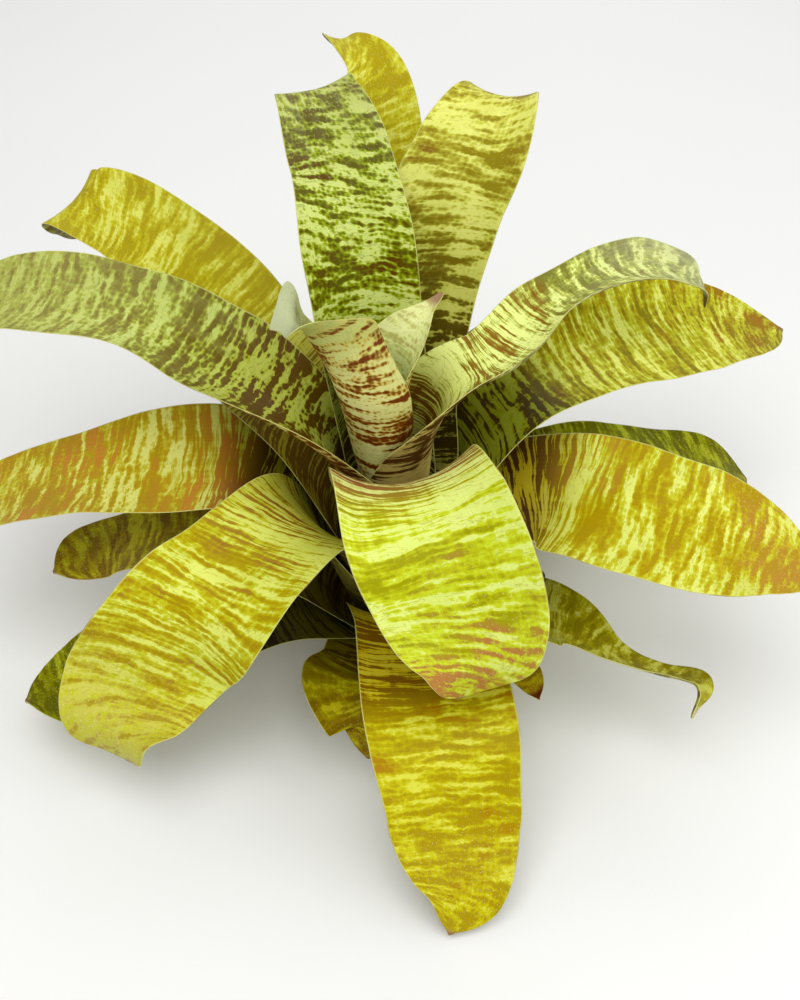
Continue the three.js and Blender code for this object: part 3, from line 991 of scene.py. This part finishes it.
WALL = LeafFinish(
    ground=0xDEDC90, cloud=0xC8CA6C, halo=0xC4AE54, band=0x8E5C14, core=0x6C3A0A,
    rust_colour=0x6E320E, throat_tint_and_shade=0xC8C070, root=0x62300A, tip=0xB0B860, rust=0.4, cover=-0.08,
    lines=0.2, beads=0.7, row=0.5, stretch=0.05, cell=1.8, lines_from=0.2,
    lines_reach=0.42, tip_cover=-0.1, root_from=0.3, root_reach=0.45, throat_tint_and_shade_share=0.5,
    tip_wash=0.4, crisp=1.7, specks=0.0, sway=2.4,
)
TUBE = replace(WALL, tip=0x9CA650, tip_wash=0.85, dry=0xECECE0, dry_from=0.93, dry_fade=0.05)
CREASE = LeafFinish(
    ground=0xD6DE9A, cloud=0xC2CC7E, halo=0xB6BE6A, band=0x989E58, core=0x7C7C4A,
    rust_colour=0x74664C, throat_tint_and_shade=0xCEB866, root=0x5A3204, tip=0xA8AC84, cover=0.0, root_from=0.44,
    root_reach=0.5, throat_tint_and_shade_share=1.0, root_cover=0.15, lines_from=0.3, lines_reach=0.42, row=0.5,
    stretch=0.1, cell=1.8, bloom_and_sheen=0.4, bloom_and_sheen_colour=0xA0A08C, bloom_from=0.5, dry=0x5E4630,
    dry_from=0.92, dry_fade=0.03, specks=0.0,
)
COLLAR = replace(
    WALL, ground=0xD2BC66, halo=0xB09238, band=0x7E500E, core=0x5A3204, cover=0.05, tip=0x9CA048,
)
BELOW = LeafFinish(
    ground=0xB8B85C, cloud=0x9CA440, halo=0xA0A03A, band=0x848028, core=0x746020,
    rust_colour=0x74501C, throat_tint_and_shade=0x6A6020, root=0x4A3A14, tip=0xA4A84A, cover=-0.15, beads=0.4,
)

LEAVES = (
    Leaf(
        "heart_leaf", 0, 40, 30,
        (
            (8.8, 0, 62), (6, 0, 71), (2.7, 0, 84), (1.5, 0, 106), (0.8, 0, 130), (2, 0, 145),
            (9, 0, 154), (21, 2, 158),
        ),
        Skin.INNER, PALE, WALL, taper=(1, 1, 1.05, 0.9), cup=(120, 112, 92, 64, 34),
        roll=(0, 0, 8, 15), free=(0.68, 0.9), lean=1, ripple=0.3, strap=TAILED,
    ),
    Leaf(
        "rolled_leaf", 1, 215, 58,
        (
            (14, 0, 84), (18, 0, 106), (23, -2, 132), (29, -4, 152), (36, -8, 165), (43, -13, 163),
        ),
        Skin.INNER, SAIL, TUBE, taper=(0.8, 0.8, 0.82, 0.9, 0.92, 0.84, 0.92),
        cup=(125, 125, 128, 128, 119, 90, 20), skew=(0, 0, 0, 0, 0.02, 0.06, 0.16, 0.36, -0.5),
        free=(0.66, 0.92), lean=1, ripple=0.4, strap=SAILED,
    ),
    Leaf(
        "leaf_right_hooked", 2, 27, 50,
        (
            (9.4, 0, 84), (9.8, 0, 95), (10.7, 0, 108), (13.3, 0.3, 118.2), (16.6, -1, 125.9),
            (22.8, -3.1, 130.3), (33.2, -5.2, 131.5), (46.6, -2.6, 134.8), (64.8, 1.4, 141.8),
            (85.6, 1.4, 145.5), (102.8, 1.1, 144.5), (115, -1.5, 141.6), (123, -7.6, 138.3),
            (132.6, -1.1, 122.7),
        ),
        Skin.INNER, HOOKED, CREASE, strap=TAILED, taper=(1.05, 1.25, 1.1, 0.72, 0.54, 0.66, 0.4),
        cup=(125, 120, 95, 70, 56, 46, 40, 34, 30), roll=(0, -4, 0, -17, 19),
        skew=(0, -0.15, -0.3, -0.35, -0.15, 0.15, 0.35, 0.5, 0.2), free=(0.37, 0.52), lean=0.6,
    ),
    Leaf(
        "leaf_back_tall", 3, 117, 50,
        (
            (19, 0, 100), (23.4, 0, 136), (31, 0.2, 168.6), (47.3, -0.8, 194.2), (59.7, 2.1, 214.2),
            (66.7, -1.7, 208.4), (85.3, -8.6, 194),
        ),
        Skin.INNER, GREEN, BELOW, taper=(1, 0.97, 1, 0.76, 0.4), cup=(80, 60, 40, 12, 20),
        skew=(0, 0.1, 0.17, 0, -0.08), roll=(0, 0, 3, -6, 10),
    ),
    Leaf(
        "leaf_left_upper", 4, 163, 50,
        (
            (21, 0, 90), (26, 0, 105), (35.8, -0.5, 116.9), (66.5, -2.7, 124.9),
            (101.9, -3.4, 134.6), (144.1, -0.6, 137.2), (182.7, 0.8, 128.8),
        ),
        Skin.INNER, MISTY, COLLAR, taper=(1, 1.09, 1.1, 1.06, 0.84, 0.99, 0.98),
        cup=(80, 60, 45, 35, 20), roll=(0, -17, -14, -10, -14),
        skew=(0, 0.41, 0.6, 0.23, 0, 0.04, -0.04), free=(0.2, 0.5),
    ),
    Leaf(
        "leaf_back_right", 5, 68, 48,
        (
            (21, 0, 78), (30.8, 5, 105.7), (42.9, 2.5, 145.6), (48.9, -0.5, 179.1),
            (56.7, -7.4, 200.3), (69.9, -8.6, 207.6), (95.2, -3.3, 187.5),
        ),
        Skin.INNER, DAPPLED, BELOW, taper=(1, 0.94, 1, 0.86, 0.4), cup=(80, 50, 25, 25, 30),
        skew=(0, 0.12, 0.29, -0.01, -0.01), roll=(0, 0, 0, 6, -5),
    ),
    Leaf(
        "leaf_front", 6, 275, 56,
        (
            (24, -2, 82), (28, -3, 100), (35.6, -1.1, 114.9), (59.1, 4.5, 115.9),
            (77.9, 12.3, 103.8), (91.5, 17, 83.8), (90.5, 11.5, 65.6),
        ),
        Skin.INNER, LIME, BELOW, taper=(1, 0.82, 1.01, 1.09, 0.82), cup=(60, 66, 40, 15, 15),
        roll=(0, 4, 6, 23, -20),
    ),
    Leaf(
        "leaf_right_upper", 7, 32, 58,
        (
            (32, 0, 94), (49.6, 1.4, 107.4), (74, 2.3, 109.7), (111.2, 2.3, 107.1),
            (148.1, 2, 99.8), (188.5, -6.2, 87.7),
        ),
        Skin.OUTER, BROAD, BELOW, cup=(70, 45, 30, 20, 10), roll=(0, 5, 11, 14, 9),
        taper=(1, 1, 1.01, 1.02, 0.89),
    ),
    Leaf(
        "leaf_back_left", 8, 141, 54,
        (
            (34, 0, 82), (66, 0, 102), (99.4, -5.2, 121.4), (139, -3, 141.4), (163.6, 5.2, 146),
            (171.8, -1, 133.7), (180.8, -6.6, 117.1),
        ),
        Skin.OUTER, OCHRE, BELOW, cup=(70, 45, 30, 20, 15), roll=(0, -3, -8, -16, -12),
        skew=(0, 0.12, 0.08, 0.02, -0.16), taper=(1, 0.97, 1.08, 0.75, 0.66),
    ),
    Leaf(
        "leaf_right_front", 9, 344, 58,
        (
            (33, 0, 77), (54.3, 6.7, 82.5), (83.5, 3, 86.8), (113.6, 0.9, 85.9), (137.6, 1, 81.1),
            (154.7, -1.7, 74.4),
        ),
        Skin.OUTER, AMBER, BELOW, taper=(1, 0.96, 1.1, 0.95, 0.85), cup=(60, 40, 25, 15, 10),
        roll=(0, -5, 8, 16, 4),
    ),
    Leaf(
        "leaf_left_front", 10, 218, 58,
        (
            (36, 0, 81), (45.8, 1.8, 90.1), (63.5, 4.6, 89.4), (85.3, 7.3, 82.8),
            (105.4, -1.2, 62.3), (119.5, -3.3, 46.1), (129.4, 1.8, 37.4), (129.5, 4.8, 30.3),
            (126.9, 5.9, 22.5),
        ),
        Skin.OUTER, SUNNY, BELOW, taper=(1, 0.88, 0.89, 0.96, 0.93), cup=(60, 40, 25, 15, 15),
        roll=(0, 6, -8, -53, -18),
    ),
    Leaf(
        "leaf_left", 11, 178, 54,
        (
            (38, 0, 76), (59.4, -1, 88.4), (92.8, -1, 87.2), (124.1, -1.3, 81.2),
            (152.1, -0.5, 72.3), (179.8, 0, 62.7),
        ),
        Skin.OUTER, RUSTY, BELOW, cup=(60, 40, 25, 15, 10), roll=(0, -2, -10, 3, -2),
        taper=(1, 1.01, 1.04, 0.97, 0.99),
    ),
    Leaf(
        "leaf_back_far", 12, 98, 50,
        (
            (47, 0, 70), (63, 0, 110), (67.3, -2.1, 147.8), (76.8, -3.4, 181.9),
            (92.1, -2.5, 205.7), (103.1, 9.5, 212), (109.8, 8, 205.5),
        ),
        Skin.OUTER, OCHRE, BELOW, taper=(1, 0.92, 0.88, 0.73, 0.46), cup=(60, 40, 25, 20, 20),
        roll=(0, 0, 8, 23, 18),
    ),
    Leaf(
        "leaf_front_under", 13, 279, 51,
        (
            (38, 0, 50), (66, 0, 54), (97.6, 0.5, 44.7), (114.7, 1.2, 24.7), (132.3, 0.8, 12.7),
            (140.2, -5.4, 3),
        ),
        Skin.OUTER, HANGING, BELOW, taper=(1, 1, 1.08, 0.95, 0.73), roll=(0, 0, 4, -1, -7),
    ),
    Leaf(
        "leaf_right_under", 14, 20, 50,
        (
            (40, 0, 52), (49.9, 0.9, 64), (67.9, -0.3, 70.6), (108.2, -1.6, 64.5),
            (139.9, -2.7, 52.2), (155.2, -3.1, 42.3),
        ),
        Skin.UNDER, MOSSY, BELOW, roll=(0, 0, -1, -6, 11), taper=(1, 1, 0.98, 0.98, 1),
    ),
    Leaf(
        "leaf_right_drooping", 15, 328, 46,
        (
            (42, 0, 40), (58.4, -5.8, 52.5), (72.6, 0.5, 47.6), (91.8, 1, 42.5), (109.8, 4.4, 39.5),
            (125.1, 2.9, 44), (128.4, -10.5, 40.6),
        ),
        Skin.UNDER, OLIVE, BELOW, taper=(1, 1.02, 0.72, 0.28, 0.3), cup=(50, 35, 25, 25, 40),
        roll=(0, 2, -10, -25, -15),
    ),
    Leaf(
        "leaf_left_under", 16, 183, 46,
        (
            (42, 0, 42), (67, -2.6, 55.4), (91, -3, 56.5), (114.4, -1.4, 52.9), (133.6, 7.5, 50.9),
        ),
        Skin.UNDER, SHADY, BELOW, roll=(0, 0, 0, 9, 4), taper=(1, 1, 1, 0.97, 1.01),
    ),
    Leaf(
        "leaf_left_low", 17, 201, 46,
        (
            (42, 0, 32), (66.3, 0.3, 33.1), (103.3, 1.7, 28), (137, 3.1, 24.3), (150.5, 3.7, 26.5),
        ),
        Skin.UNDER, MOSSY, BELOW, roll=(0, 0, 0, -11, 5), taper=(1, 1, 1, 1.08, 0.98),
    ),
    Leaf(
        "leaf_front_left_under", 18, 256, 42,
        ((42, 0, 24), (55.8, -1.8, 31.4), (68.5, 9.5, 27.3), (78.8, 7.3, 19.1)),
        Skin.UNDER, SHADY, BELOW, roll=(0, 0, -2, -5, 6), taper=(1, 1, 1.09, 0.98, 0.92),
    ),
    Leaf(
        "leaf_front_right_under", 19, 308, 31,
        ((44, 0, 22), (57, 0, 33), (69, 0, 38), (82, 0, 36)),
        Skin.UNDER, SCORCHED, BELOW, taper=(1, 1, 0.9, 0.5, 0.45), skew=(0, 0, 0, 0.4, 0.5),
    ),
    Leaf(
        "leaf_back_low_left", 20, 125, 52,
        ((42, 0, 30), (70, 0, 38), (110, 0, 28), (140, 0, 4)),
        Skin.UNDER, SHADY, BELOW,
    ),
    Leaf(
        "leaf_back_low_right", 21, 62, 52,
        ((43, 0, 26), (70, 0, 36), (110, 0, 26), (140, 0, 4)),
        Skin.UNDER, SHADY, BELOW,
    ),
)


@dataclass(frozen=True)
class Lamp:
    """One soft square lamp: its place and side in metres, its power in watts."""

    name: str
    place: Place
    side: float
    power: float
    aim: Place = (0, 0, 0.1)

    def hang(self) -> None:
        """Hangs the lamp so that it faces the plant."""
        light = bpy.data.lights.new(self.name, "AREA")
        light.shape = "SQUARE"
        light.size = self.side
        light.energy = self.power
        lamp = bpy.data.objects.new(self.name, light)
        lamp.location = self.place
        beam = Vector(self.aim) - Vector(self.place)
        lamp.rotation_euler = beam.to_track_quat("-Z", "Y").to_euler()
        bpy.context.scene.collection.objects.link(lamp)


@dataclass
class Studio:
    """The pale floor, the soft light and the camera."""

    floor_side: float = 6.0
    floor_pale: int = 0xF6F6F4
    floor_dull: int = 0xF0F0EE
    floor_roughness: float = 0.9
    lamps: tuple = (
        Lamp("key", (-0.1, -0.4, 1.0), 0.9, 6.4),
        Lamp("fill", (0.9, -0.5, 0.7), 0.9, 4.2),
        Lamp("back", (0.1, 1.0, 0.8), 0.8, 2.8),
    )
    sky_colour: Colour = (1.0, 1.0, 1.0, 1.0)
    sky_strength: float = 0.5
    camera_elevation: float = 42.0
    camera_distance: float = 0.5
    target_height: float = 0.075
    lens: float = 47.52
    sensor: float = 36.0

    def build(self) -> None:
        """Sets up the floor, the light and the camera."""
        self.floor()
        for lamp in self.lamps:
            lamp.hang()
        self.sky()
        self.camera()

    def floor(self) -> None:
        """Lays the pale floor."""
        bpy.ops.object.select_all(action="DESELECT")
        bpy.ops.mesh.primitive_plane_add(size=self.floor_side, location=(0, 0, 0))
        floor = bpy.context.object
        floor.name = "floor"
        shop = Shop("floor_pale")
        at = shop.node("TexCoord", {}, {}, "Object")
        cloud = shop.node("TexNoise", {}, {"Vector": at, "Scale": 3.0})
        colour = shop.blend(cloud, linear(self.floor_pale), linear(self.floor_dull))
        finish = shop.finish({"Base Color": colour, "Roughness": self.floor_roughness})
        floor.data.materials.append(finish)

    def sky(self) -> None:
        """Adds the even light from all round."""
        world = bpy.data.worlds.new("studio")
        world.use_nodes = True
        sky = world.node_tree.nodes["Background"]
        sky.inputs["Color"].default_value = self.sky_colour
        sky.inputs["Strength"].default_value = self.sky_strength
        bpy.context.scene.world = world
        bpy.context.scene.view_settings.view_transform = "Standard"

    def camera(self) -> None:
        """Puts the camera at the photograph's angle."""
        tilt = math.radians(self.camera_elevation)
        camera = bpy.data.objects.new("camera", bpy.data.cameras.new("camera"))
        camera.data.lens = self.lens
        camera.data.sensor_width = self.sensor
        back, rise = self.camera_distance * math.cos(tilt), self.camera_distance * math.sin(tilt)
        camera.location = (0, -back, self.target_height + rise)
        camera.rotation_euler = (math.pi / 2 - tilt, 0, 0)
        bpy.context.scene.collection.objects.link(camera)
        bpy.context.scene.camera = camera


def main() -> None:
    """Builds the studio, the stem and every leaf."""
    Studio().build()
    Stem().build()
    rim = MarginFinish().dress()
    for leaf in LEAVES:
        leaf.build(len(LEAVES), rim)


if __name__ == "__main__":
    main()
